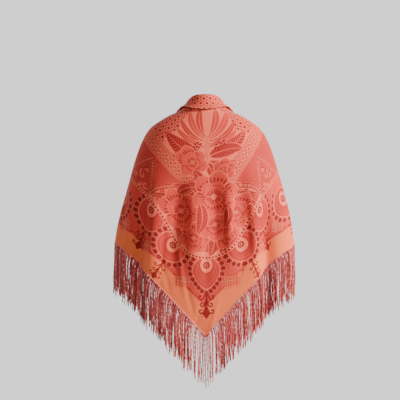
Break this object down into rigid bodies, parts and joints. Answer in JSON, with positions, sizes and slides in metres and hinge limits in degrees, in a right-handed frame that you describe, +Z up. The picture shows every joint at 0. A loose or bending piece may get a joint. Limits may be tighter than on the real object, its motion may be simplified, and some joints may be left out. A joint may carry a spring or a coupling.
{
  "type": "flamenco shawl",
  "caption": "Triangular jacquard shawl worn round the shoulders, point at the centre back, top edge turned out at the nape, long knotted fringe on both short sides",
  "frame": {"origin": "Between the shoulders at the foot of the neck, in the middle plane, where the wearer's neck and shoulders hold the shawl", "axes": "+Z up, +Y the way the wearer faces, so the point of the shawl hangs at -Y, +X the wearer's right"},
  "size_m": [0.5996, 0.3334, 0.9548],
  "materials": {
    "jacquard_cloth": "coral jacquard weave with a soft silky sheen",
    "fringe_yarn": "silky twisted yarn"
  },
  "bodies": {
    "root": {"shawl_cloth": "jacquard_cloth", "turned_collar": "jacquard_cloth", "fringe_left": "fringe_yarn", "fringe_right": "fringe_yarn"}
  },
  "joints": []
}
